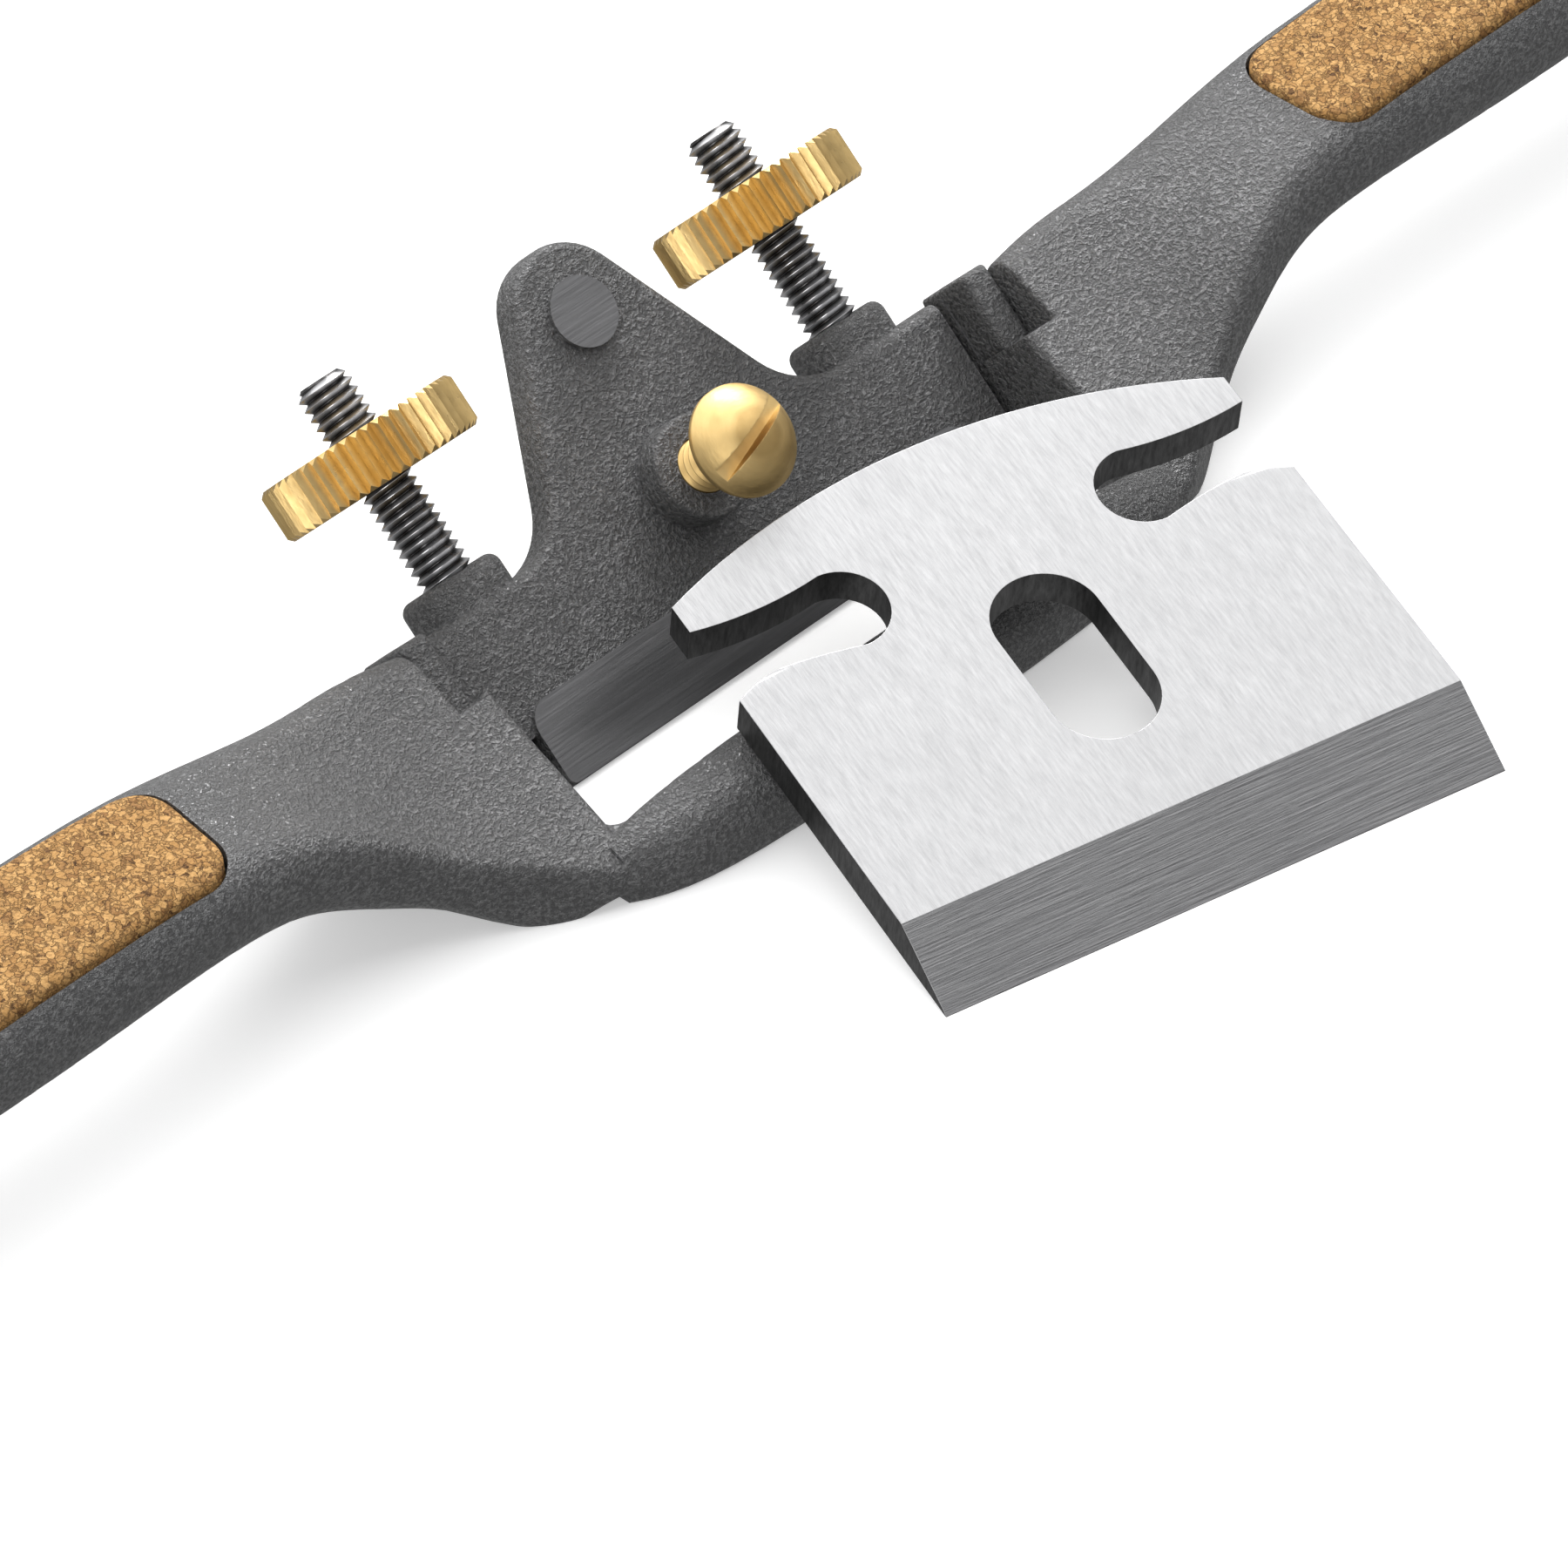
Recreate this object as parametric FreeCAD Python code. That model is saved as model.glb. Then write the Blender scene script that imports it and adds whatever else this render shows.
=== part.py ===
import FreeCAD, Part
import math
import os
from collections import namedtuple

# A flat-soled metal spokeshave with cork-faced handles. It stands on its sole, and its blade lies in
# front of it with the cutting edge on the bench and its back against the toe bar.
# Millimetres. +X runs along the right handle, +Y to the back, +Z up. The origin is the middle of the
# toe's sole, so the bench is the plane z = 0.
# The bed is a second frame: "along" runs up the bed from the mouth, "above" stands off the bed pads.

# ---- overall ----
overall_length = 254.0
sole_end_margin = 10.05      # the flat sole goes this far beyond each inner wall
neck_run = 24.5              # from there to the start of the grip section

# ---- toe bar in front of the mouth ----
toe_depth = 7.4
toe_height = 7.3
toe_end_height = 6.0         # the bar dips where it runs into the cheeks
toe_nose_radius = 4.2
toe_back_radius = 1.2
toe_end_fall = 1.8           # the bar's top leans forwards by this much where it meets the cheek
toe_sweep = 3.2              # how far the front edge falls back by the time it meets the cheek

# ---- cheeks ----
cheek_gap = 62.9             # between the two inner walls
cheek_brow = 3.7             # height of the cheek's top at its front edge
cheek_ridge = 16.5           # and at its back edge
body_back_y = 25.8
sole_edge_radius = 1.1
sole_stock = 0.25            # left under the toe and cheeks in the mould, and ground off flat

# ---- mouth and bed ----
mouth_gap = 10.8
mouth_corner_radius = 1.5
bed_angle = 45.0
bed_lip = 0.5                # height of the bed's lower edge above the bench
bed_thickness = 8.5
bed_height = 17.0            # along the bed, from the mouth to the shoulders
bed_shoulder_radius = 1.1
pad_rise = 0.6               # the ground pads stand this far off the rough casting
groove_width = 1.0           # relief between the bed and each cheek
groove_depth = 4.0

# ---- ground pads that the blade beds on ----
lower_pad_margin = 5.45      # from each inner wall to the end of the lower pad
lower_pad_height = 7.5
lower_pad_corner = 2.4
pad_relief_width = 0.9       # narrow trench beside each end of the lower pad
pad_relief_depth = 1.6
round_pad_diameter = 6.4
round_pad_along = 32.6

# ---- tongue behind the blade ----
tongue_radius = 5.9
tongue_along = 33.3          # centre of the rounded top
tongue_flare = 26.0          # angle of the flanks to the bed's run
tongue_thickness = 4.2
tongue_root_radius = 7.4
tongue_edge_radius = 0.9

# ---- screw boss in the middle ----
screw_along = 16.3
boss_diameter = 9.3
boss_height = 2.8
boss_edge_radius = 0.4

# ---- studs and adjusting nuts ----
stud_margin = 8.6            # from each inner wall to the stud's axis
stud_diameter = 5.0
stud_depth = 4.3             # the stud axis lies this far below the bed pads
stud_top = 39.8
stud_engagement = 9.0
stud_chamfer = 0.7
stud_boss_width = 8.8
stud_boss_top = 20.1
stud_boss_corner = 2.2
stud_boss_edge = 1.1
stud_boss_step = 0.6         # the boss lies this far below the rough bed
nut_diameter = 18.9
nut_thickness = 4.9
nut_along = 32.0             # middle of the nut at rest
nut_teeth = 54
nut_tooth_depth = 0.55
nut_chamfer = 0.45
thread_clearance = 0.05      # radial, between a turning thread and its partner

# ---- cap screw ----
screw_diameter = 5.0
screw_head_diameter = 9.9
screw_head_rim = 0.6         # straight rim below the dome
screw_dome_height = 3.0
screw_seat = 9.6             # underside of the head above the bed pads, at rest
screw_reach = 7.4            # the point lies this far below the bed pads, at rest
screw_slot_width = 1.3
screw_slot_depth = 2.3
screw_slot_angle = 19.5      # from the handle direction
screw_chamfer = 0.6

# ---- cheek recess and guide rib ----
recess_width = 3.6
recess_edge_radius = 0.5
wall_edge_radius = 0.9       # rounding of the inner walls' top edges
recess_floor = -1.0          # relative to the bed pads
recess_start = 10.3          # along the bed
rib_width = 3.0
rib_rise = 3.3
rib_clearance = 0.15         # the rib stops short of the inner wall's line
rib_start = 9.7
rib_end = 17.6
rib_radius = 1.2

# ---- grips and cork inlays ----
grip_front_y = 8.3
grip_back_y = 26.0
grip_bottom = 9.7
grip_brow = 20.1
grip_ridge = 22.0
tip_length = 13.5            # the grip rounds off over its last stretch
tip_profile = [(1.0, 0.99), (0.48, 0.94), (0.16, 0.84), (0.0, 0.70)]
tip_edge_radius = 2.0
inlay_lead = 2.2             # the inlay starts this far before the grip section
inlay_end_margin = 9.0       # casting left beyond the outer end of the inlay
inlay_forward = 0.55         # the inlay sits this far forward of the middle of the grip
inlay_inner_width = 12.3
inlay_outer_width = 14.1
inlay_corner_radius = 3.6
inlay_floor = 17.2           # height of the pocket's floor
inlay_gap = 0.3              # open joint round the cork
inlay_proud = 0.35
inlay_edge_radius = 0.7

# ---- blade ----
blade_width = 54.0
blade_thickness = 3.6
blade_side = 33.4            # straight side, from the cutting edge to the shoulder
blade_length = 50.2          # cutting edge to the top of the arch
blade_prong_top = 44.5
blade_prong_root = 41.5
blade_shoulder_bump = 1.4    # the shoulder swells this much before it falls into the notch
notch_radius = 4.05
notch_centre_x = 14.6
bevel_angle = 25.0
edge_land = 0.08             # a honed edge is never quite sharp
slot_clearance = 0.4         # the slot is this much wider than the screw boss
slot_start = 15.4
slot_end = 33.8
blade_yaw = 14.5             # turned this much to the right, seen from above
blade_edge_y = -35.6         # middle of the cutting edge on the bench
toe_contact_gap = 0.2

toe_front_y = -toe_depth / 2
toe_back_y = toe_depth / 2
bed_edge_y = toe_back_y + mouth_gap
cheek_x = cheek_gap / 2
sole_end_x = cheek_x + sole_end_margin
neck_x = sole_end_x + neck_run
inlay_start_x = neck_x - inlay_lead
lower_pad_width = cheek_gap - 2 * lower_pad_margin
slot_width = boss_diameter + slot_clearance
end_x = overall_length / 2
stud_x = cheek_x - stud_margin
rough_bed = -pad_rise
bed_back = -bed_thickness
bed_half_width = cheek_x - groove_width
X_AXIS = FreeCAD.Vector(1, 0, 0)
Z_AXIS = FreeCAD.Vector(0, 0, 1)

# One cross-section of a cheek or grip, square to X: the front and back faces, the underside, the
# height of the top face at its front edge (brow) and back edge (ridge), and the corner radii.
Section = namedtuple("Section", "x front back bottom brow ridge low_radius ridge_radius brow_radius")


def vec(x, y, z):
    return FreeCAD.Vector(x, y, z)


def rounded_wire(corners, radii, place):
    """Closed wire through 2D corners, each rounded by its radius; place turns (u, v) into a point."""
    pieces = []
    count = len(corners)
    for index in range(count):
        corner = FreeCAD.Vector(corners[index][0], corners[index][1], 0)
        before = FreeCAD.Vector(corners[index - 1][0], corners[index - 1][1], 0)
        following = corners[(index + 1) % count]
        after = FreeCAD.Vector(following[0], following[1], 0)
        back = (before - corner).normalize()
        ahead = (after - corner).normalize()
        half = back.getAngle(ahead) / 2
        reach = radii[index] / math.tan(half)
        middle = (back + ahead).normalize()
        centre = corner + middle * (radii[index] / math.sin(half))
        crown = centre - middle * radii[index]
        pieces.append((corner + back * reach, crown, corner + ahead * reach, radii[index]))
    edges = []
    for index in range(count):
        start, crown, end, radius = pieces[index]
        next_start = pieces[(index + 1) % count][0]
        if radius > 0:
            arc = Part.Arc(place(start.x, start.y), place(crown.x, crown.y), place(end.x, end.y))
            edges.append(arc.toShape())
        if (next_start - end).Length > 1e-6:
            line = Part.LineSegment(place(end.x, end.y), place(next_start.x, next_start.y))
            edges.append(line.toShape())
    return Part.Wire(edges)


def prism(wire, direction):
    return Part.Face(wire).extrude(direction)


def flat(height):
    """Places 2D points in the plane at this height."""
    return lambda u, v: vec(u, v, height)


def upright(x):
    """Places 2D points (y, z) in the cross-section plane at this x."""
    return lambda u, v: vec(x, u, v)


def in_bed_frame(shape):
    """Moves a shape built as (x, along, above) onto the bed."""
    bed = FreeCAD.Placement(vec(0, bed_edge_y, bed_lip), FreeCAD.Rotation(X_AXIS, bed_angle))
    moved = shape.copy()
    moved.Placement = bed.multiply(shape.Placement)
    return moved


def block(x0, x1, y0, y1, z0, z1):
    return Part.makeBox(x1 - x0, y1 - y0, z1 - z0, vec(x0, y0, z0))


def both_sides(shape):
    return [shape, shape.mirror(vec(0, 0, 0), X_AXIS)]


def fillet_where(shape, radius, test):
    """Rounds the edges whose middle passes the test."""
    edges = [edge for edge in shape.Edges if test(edge.CenterOfMass)]
    return shape.makeFillet(radius, edges)


def handle_sections(proud):
    """Cross-sections from the cheek's inner wall to the last full section of the grip."""
    front = grip_front_y
    back = grip_back_y
    low = grip_bottom
    brow = grip_brow + proud
    ridge = grip_ridge + proud
    cheek_front = toe_front_y + toe_sweep
    cheek = sole_end_x - cheek_x
    neck = neck_x - sole_end_x
    grip = end_x - tip_length - neck_x
    edge = sole_edge_radius
    return [
        Section(cheek_x, cheek_front, back - 1.1, -sole_stock,
                cheek_brow, cheek_ridge + 0.2, edge, 2.4, 2.2),
        Section(cheek_x + 0.5 * cheek, cheek_front + 2.2, back - 0.6, -sole_stock,
                cheek_brow + 1.1, cheek_ridge + 0.6, edge + 0.2, 2.5, 1.8),
        Section(sole_end_x, cheek_front + 5.2, back - 0.2, 0.1,
                cheek_brow + 3.1, cheek_ridge + 0.9, edge + 0.7, 2.4, 1.8),
        Section(sole_end_x + 0.19 * neck, front - 1.7, back, 0.34 * low,
                brow - 10.5, ridge - 3.9, 2.6, 3.2, 2.0),
        Section(sole_end_x + 0.40 * neck, front - 0.4, back - 0.2, 0.6 * low,
                brow - 6.3, ridge - 3.4, 3.4, 3.8, 2.4),
        Section(sole_end_x + 0.68 * neck, front + 0.7, back - 0.2, 0.89 * low,
                brow - 2.7, ridge - 2.3, 4.2, 4.4, 3.2),
        Section(neck_x, front + 0.6, back - 0.1, low, brow - 0.9, ridge - 0.9, 5.0, 4.8, 4.0),
        Section(neck_x + 0.27 * grip, front + 0.2, back, low + 0.1, brow - 0.2, ridge - 0.1, 5.2, 5.0, 4.4),
        Section(neck_x + 0.55 * grip, front, back, low + 0.1, brow, ridge, 5.2, 5.0, 4.4),
        Section(neck_x + 0.81 * grip, front + 0.1, back - 0.1, low + 0.2, brow - 0.1, ridge - 0.1,
                5.2, 5.0, 4.4),
    ]


def tip_section(last, reach, shrink):
    """The last full section drawn in towards its middle, this far short of the tip."""
    middle_y = (last.front + last.back) / 2
    middle_z = (last.bottom + (last.brow + last.ridge) / 2) / 2
    return Section(
        end_x - reach,
        middle_y + (last.front - middle_y) * shrink,
        middle_y + (last.back - middle_y) * shrink,
        middle_z + (last.bottom - middle_z) * shrink,
        middle_z + (last.brow - middle_z) * shrink,
        middle_z + (last.ridge - middle_z) * shrink,
        last.low_radius * shrink,
        last.ridge_radius * shrink,
        last.brow_radius * shrink)


def section_wire(section):
    corners = [
        (section.front, section.bottom),
        (section.back, section.bottom),
        (section.back, section.ridge),
        (section.front, section.brow),
    ]
    radii = [section.low_radius, section.low_radius, section.ridge_radius, section.brow_radius]
    return rounded_wire(corners, radii, upright(section.x))


def cheek_and_handle(proud=0.0):
    """Right cheek and handle in one smooth run; proud lifts the top of the grip."""
    sections = handle_sections(proud)
    last = sections[-1]
    for reach, shrink in tip_profile:
        sections.append(tip_section(last, reach * tip_length, shrink))
    run = Part.makeLoft([section_wire(section) for section in sections], True, False)
    return fillet_where(run, tip_edge_radius, lambda middle: middle.x > end_x - 0.01)


def toe_section(x, setback, height, fall):
    """Cross-section of the toe bar, its rounded nose at the front and its top falling forwards."""
    front = toe_front_y + setback
    nose_height = height - fall
    corners = [(front, -sole_stock), (toe_back_y, -sole_stock), (toe_back_y, height), (front, nose_height)]
    room = min(nose_height - sole_edge_radius, toe_back_y - front - toe_back_radius) - 0.1
    nose = min(toe_nose_radius, room)
    return rounded_wire(corners, [sole_edge_radius, 0.2, toe_back_radius, nose], upright(x))


def toe_bar():
    """Bar in front of the mouth; its front edge sweeps back into both cheeks."""
    half = [
        (1.05 * cheek_x, 1.24 * toe_sweep, toe_end_height - 0.2, toe_end_fall),
        (0.84 * cheek_x, 0.40 * toe_sweep, toe_height - 0.6, 0.4 * toe_end_fall),
        (0.60 * cheek_x, 0.12 * toe_sweep, toe_height - 0.2, 0.1 * toe_end_fall),
        (0.32 * cheek_x, 0, toe_height, 0),
    ]
    stations = [(-station[0],) + station[1:] for station in half]
    stations.append((0, 0, toe_height, 0))
    stations.extend(reversed(half))
    return Part.makeLoft([toe_section(*station) for station in stations], True, False)


def mouth_corners():
    """Concave corners where the toe bar's back face turns into the cheeks."""
    radius = mouth_corner_radius
    inner = cheek_x - radius
    corner = block(inner, cheek_x + 0.5, toe_back_y - 0.5, toe_back_y + radius, 0, toe_end_height - 0.8)
    corner = corner.cut(Part.makeCylinder(radius, toe_height, vec(inner, toe_back_y + radius, 0)))
    return both_sides(corner)


def bed_slab():
    """Sloping slab that carries the bed; its underside is the heel of the sole."""
    reach = cheek_x + 1.5
    corners = [(-2, rough_bed), (bed_height, rough_bed), (bed_height, bed_back), (-2, bed_back)]
    wire = rounded_wire(corners, [0, bed_shoulder_radius, bed_shoulder_radius, 0], upright(-reach))
    slab = in_bed_frame(prism(wire, vec(2 * reach, 0, 0)))
    heel = block(-reach, reach, bed_edge_y + 0.3, body_back_y - 0.3, 0, 9)
    return slab.fuse(heel.common(below_bed()))


def below_bed():
    """Everything under the rough bed surface."""
    return in_bed_frame(block(-end_x, end_x, -60, bed_height, -60, rough_bed))


def grooves():
    """Relief slots that part the bed from the cheeks."""
    slot = block(bed_half_width, cheek_x, -8, bed_height + 20, rough_bed - groove_depth, 1)
    return both_sides(in_bed_frame(slot))


def tongue():
    """Flared tongue that backs the upper end of the blade."""
    flare = math.radians(tongue_flare)
    side_x = tongue_radius * math.cos(flare)
    side_y = tongue_along + tongue_radius * math.sin(flare)
    root_x = side_x + (side_y - bed_height) * math.tan(flare)
    foot_x = root_x + tongue_root_radius
    foot_y = bed_height - 4
    peak_y = tongue_along + tongue_radius / math.sin(flare)
    corners = [
        (-foot_x, foot_y),
        (foot_x, foot_y),
        (foot_x, bed_height),
        (root_x, bed_height),
        (0, peak_y),
        (-root_x, bed_height),
        (-foot_x, bed_height),
    ]
    radii = [0, 0, 0, tongue_root_radius, tongue_radius, tongue_root_radius, 0]
    wire = rounded_wire(corners, radii, flat(rough_bed - tongue_thickness))
    plate = prism(wire, vec(0, 0, tongue_thickness))
    plate = fillet_where(plate, tongue_edge_radius, lambda middle: middle.y > bed_height + 0.5)
    return in_bed_frame(plate)


def stud_boss():
    """Rounded boss on each shoulder that the stud screws into."""
    foot = bed_height - 3
    half = stud_boss_width / 2
    front = rough_bed - stud_boss_step
    back = bed_back + 0.3
    corners = [
        (stud_x - half, back),
        (stud_x + half, back),
        (stud_x + half, front),
        (stud_x - half, front),
    ]
    wire = rounded_wire(corners, [stud_boss_corner] * 4, lambda u, v: vec(u, foot, v))
    boss = prism(wire, vec(0, stud_boss_top - foot, 0))
    boss = fillet_where(boss, stud_boss_edge, lambda middle: middle.y > stud_boss_top - 0.1)
    return in_bed_frame(boss)


def screw_boss():
    """Round boss that centres the blade and takes the cap screw."""
    boss = Part.makeCylinder(boss_diameter / 2, boss_height + 2, vec(0, screw_along, -2))
    boss = fillet_where(boss, boss_edge_radius, lambda middle: middle.z > boss_height - 0.1)
    return in_bed_frame(boss)


def lower_pad():
    half = lower_pad_width / 2
    corners = [(-half, 0), (half, 0), (half, lower_pad_height), (-half, lower_pad_height)]
    radii = [0.8, 0.8, lower_pad_corner, lower_pad_corner]
    return in_bed_frame(prism(rounded_wire(corners, radii, flat(-2)), vec(0, 0, 2)))


def pad_reliefs():
    """Trenches beside both ends of the lower pad."""
    half = lower_pad_width / 2
    floor = rough_bed - pad_relief_depth
    trench = block(half, half + pad_relief_width, -1, lower_pad_height - lower_pad_corner, floor, 1)
    return both_sides(in_bed_frame(trench))


def round_pad():
    radius = round_pad_diameter / 2
    return in_bed_frame(Part.makeCylinder(radius, 2, vec(0, round_pad_along, -2)))


def cheek_recess():
    """Upper part of each cheek wall, set back to clear the blade's prongs."""
    recess = block(cheek_x - 0.01, cheek_x + recess_width, recess_start, bed_height + 25, recess_floor, 40)
    return both_sides(in_bed_frame(recess))


def guide_rib():
    """Short rounded rib that stands in each recess, in line with the lower wall."""
    inner = cheek_x + rib_clearance
    corners = [
        (inner, rib_start),
        (inner + rib_width, rib_start),
        (inner + rib_width, rib_end),
        (inner, rib_end),
    ]
    wire = rounded_wire(corners, [rib_radius, rib_radius, 0.4, 0.4], flat(recess_floor - 3))
    rib = prism(wire, vec(0, 0, rib_rise - recess_floor + 3))
    rib = fillet_where(rib, 0.7, lambda middle: middle.z > rib_rise - 0.1)
    return both_sides(in_bed_frame(rib))


def stud_rod(extra=0.0):
    """Cylinder on the right stud's axis; extra widens it."""
    length = stud_top - stud_boss_top + stud_engagement
    start = vec(stud_x, stud_boss_top - stud_engagement, -stud_depth)
    return Part.makeCylinder(stud_diameter / 2 + extra, length, start, vec(0, 1, 0))


def screw_hole():
    radius = screw_diameter / 2 + thread_clearance
    return in_bed_frame(Part.makeCylinder(radius, 60, vec(0, screw_along, -40)))


def inlay_outline(gap, height):
    """Plan outline of the right cork inlay, or of its pocket when gap is added all round."""
    inner = inlay_start_x - gap
    outer = end_x - inlay_end_margin + gap
    middle = (grip_front_y + grip_back_y) / 2 - inlay_forward
    inner_half = inlay_inner_width / 2 + gap
    outer_half = inlay_outer_width / 2 + gap
    corners = [
        (inner + 0.9, middle - inner_half),
        (outer, middle - outer_half),
        (outer, middle + outer_half),
        (inner, middle + inner_half),
    ]
    radius = inlay_corner_radius + gap
    outer_radius = inlay_outer_width / 2 - 1.2
    return rounded_wire(corners, [radius, outer_radius, outer_radius, radius], flat(height))


def inlay_pocket():
    return prism(inlay_outline(inlay_gap, inlay_floor), vec(0, 0, 20))


def cork_inlay():
    """Right inlay: it fills the pocket and crowns a little above the casting."""
    plug = prism(inlay_outline(0, inlay_floor), vec(0, 0, 20))
    inlay = plug.common(cheek_and_handle(inlay_proud))
    rim = [edge for edge in inlay.Edges if edge.BoundBox.ZMin > inlay_floor + 0.1]
    return inlay.makeFillet(inlay_edge_radius, rim)


def bed_place(point):
    """Where a point lies in the bed's frame: (along, above)."""
    slope = math.radians(bed_angle)
    back = point.y - bed_edge_y
    up = point.z - bed_lip
    along = back * math.cos(slope) + up * math.sin(slope)
    above = up * math.cos(slope) - back * math.sin(slope)
    return along, above


def is_wall_brow(edge):
    """True for the top edge of an inner wall, from the toe bar to the recess."""
    box = edge.BoundBox
    on_wall = abs(abs(edge.CenterOfMass.x) - cheek_x) < 0.05 and box.XMax - box.XMin < 0.05
    return on_wall and box.YMin < toe_back_y and box.YMax > bed_edge_y and box.ZMin > cheek_brow


def is_recess_brow(edge):
    """True for the top edges of the recess walls."""
    box = edge.BoundBox
    wall = cheek_x + recess_width
    along, above = bed_place(edge.CenterOfMass)
    on_wall = abs(abs(edge.CenterOfMass.x) - wall) < 0.05 and box.XMax - box.XMin < 0.05
    return on_wall and along > recess_start + 0.5 and above > recess_floor + 1


def soften_cheeks(casting):
    """Rounds the cheeks' inner top edges and the mouths of the recesses."""
    casting = casting.makeFillet(wall_edge_radius, [e for e in casting.Edges if is_wall_brow(e)])
    return casting.makeFillet(recess_edge_radius, [e for e in casting.Edges if is_recess_brow(e)])


def body_casting():
    casting = toe_bar()
    for part in both_sides(cheek_and_handle()):
        casting = casting.fuse(part)
    additions = mouth_corners()
    additions.append(bed_slab())
    casting = casting.fuse(additions)
    for cut in grooves() + cheek_recess():
        casting = casting.cut(cut)
    additions = both_sides(stud_boss())
    additions.extend(guide_rib())
    additions.extend([tongue(), screw_boss()])
    casting = casting.fuse(additions)
    for cut in pad_reliefs():
        casting = casting.cut(cut)
    casting = casting.fuse([lower_pad(), round_pad()])
    for cut in both_sides(in_bed_frame(stud_rod())) + both_sides(inlay_pocket()):
        casting = casting.cut(cut)
    casting = casting.cut(screw_hole())
    below_bench = block(-end_x - 5, end_x + 5, -60, 90, -40, 0)
    return soften_cheeks(casting.cut(below_bench).removeSplitter())


def stud():
    """Right stud, with a chamfer at its free end."""
    rod = stud_rod()
    edges = [edge for edge in rod.Edges if edge.CenterOfMass.y > stud_top - 0.1 and edge.Closed]
    return in_bed_frame(rod.makeChamfer(stud_chamfer, edges))


def adjusting_nut():
    """Right nut: a thick disc with V teeth round its rim, lightly chamfered."""
    outer = nut_diameter / 2
    inner = outer - nut_tooth_depth
    points = []
    for tooth in range(2 * nut_teeth):
        radius = outer if tooth % 2 == 0 else inner
        angle = math.pi * tooth / nut_teeth
        points.append(vec(radius * math.cos(angle), radius * math.sin(angle), 0))
    points.append(points[0])
    toothed = prism(Part.makePolygon(points), vec(0, 0, nut_thickness))
    envelope = Part.makeCylinder(outer, nut_thickness)
    envelope = envelope.makeChamfer(nut_chamfer, [edge for edge in envelope.Edges if edge.Closed])
    nut = toothed.common(envelope)
    bore = Part.makeCylinder(stud_diameter / 2 + thread_clearance, nut_thickness * 3, vec(0, 0, -nut_thickness))
    nut = nut.cut(bore)
    nut.Placement = FreeCAD.Placement(
        vec(stud_x, nut_along + nut_thickness / 2, -stud_depth), FreeCAD.Rotation(X_AXIS, 90))
    return in_bed_frame(nut)


def cap_screw():
    """Dome-headed screw, backed off so that its head stands clear of the boss."""
    head_radius = screw_head_diameter / 2
    rim_top = screw_seat + screw_head_rim
    rim = Part.makeCylinder(head_radius, screw_head_rim, vec(0, 0, screw_seat))
    ball_radius = (head_radius ** 2 + screw_dome_height ** 2) / (2 * screw_dome_height)
    ball = Part.makeSphere(ball_radius, vec(0, 0, rim_top + screw_dome_height - ball_radius))
    cap = block(-10, 10, -10, 10, rim_top - 0.01, rim_top + 10)
    dome = ball.common(cap)
    shank = Part.makeCylinder(screw_diameter / 2, screw_seat + screw_reach + 0.2, vec(0, 0, -screw_reach))
    tip = [edge for edge in shank.Edges if edge.Closed and edge.CenterOfMass.z < -screw_reach + 0.1]
    shank = shank.makeChamfer(screw_chamfer, tip)
    crown = rim_top + screw_dome_height
    slot = block(-10, 10, -screw_slot_width / 2, screw_slot_width / 2, crown - screw_slot_depth, crown + 5)
    slot.rotate(vec(0, 0, 0), Z_AXIS, screw_slot_angle)
    screw = rim.fuse([dome, shank]).cut(slot).removeSplitter()
    screw.translate(vec(0, screw_along, 0))
    return in_bed_frame(screw)


def blade_outline():
    """Plan outline of the blade: x across, y up from the cutting edge."""
    half = blade_width / 2
    notch_y = (blade_prong_root + blade_side) / 2 + 0.25
    notch_top = (notch_centre_x, notch_y + notch_radius)
    notch_bottom = (notch_centre_x, notch_y - notch_radius)
    crest = (half - 5.0, blade_side + blade_shoulder_bump)

    def side(sign):
        def at(x, y):
            return vec(sign * x, y, 0)
        return [
            Part.LineSegment(at(half, 0), at(half, blade_side)),
            Part.Arc(at(half, blade_side), at(half - 2.3, blade_side + 0.95), at(*crest)),
            Part.Arc(at(*crest), at(crest[0] - 3.2, crest[1] - 0.35), at(*notch_bottom)),
            Part.Arc(at(*notch_bottom), at(notch_centre_x - notch_radius, notch_y), at(*notch_top)),
            Part.Arc(at(*notch_top), at(half - 6.5, blade_prong_root - 0.45), at(half, blade_prong_root)),
            Part.LineSegment(at(half, blade_prong_root), at(half, blade_prong_top)),
        ]

    arch = Part.Arc(vec(half, blade_prong_top, 0), vec(0, blade_length, 0), vec(-half, blade_prong_top, 0))
    edge = Part.LineSegment(vec(-half, 0, 0), vec(half, 0, 0))
    curves = side(1) + [arch] + side(-1) + [edge]
    return Part.Wire(Part.__sortEdges__([curve.toShape() for curve in curves]))


def blade_slot():
    """Slot that drops over the screw boss."""
    half = slot_width / 2
    radius = half - 0.001
    corners = [(-half, slot_start), (half, slot_start), (half, slot_end), (-half, slot_end)]
    return prism(rounded_wire(corners, [radius] * 4, flat(-1)), vec(0, 0, blade_thickness + 2))


def blade_lean():
    """Slope of the blade in side view when its left side touches the rounded nose of the toe."""
    yaw = math.radians(blade_yaw)
    left_corner_y = blade_edge_y + blade_width / 2 * math.sin(yaw)
    run = toe_front_y + toe_nose_radius - left_corner_y
    rise = toe_height - toe_nose_radius
    slope = math.asin((toe_nose_radius + toe_contact_gap) / math.hypot(run, rise)) + math.atan2(rise, run)
    return math.degrees(math.atan(math.tan(slope) * math.cos(yaw)))


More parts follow.
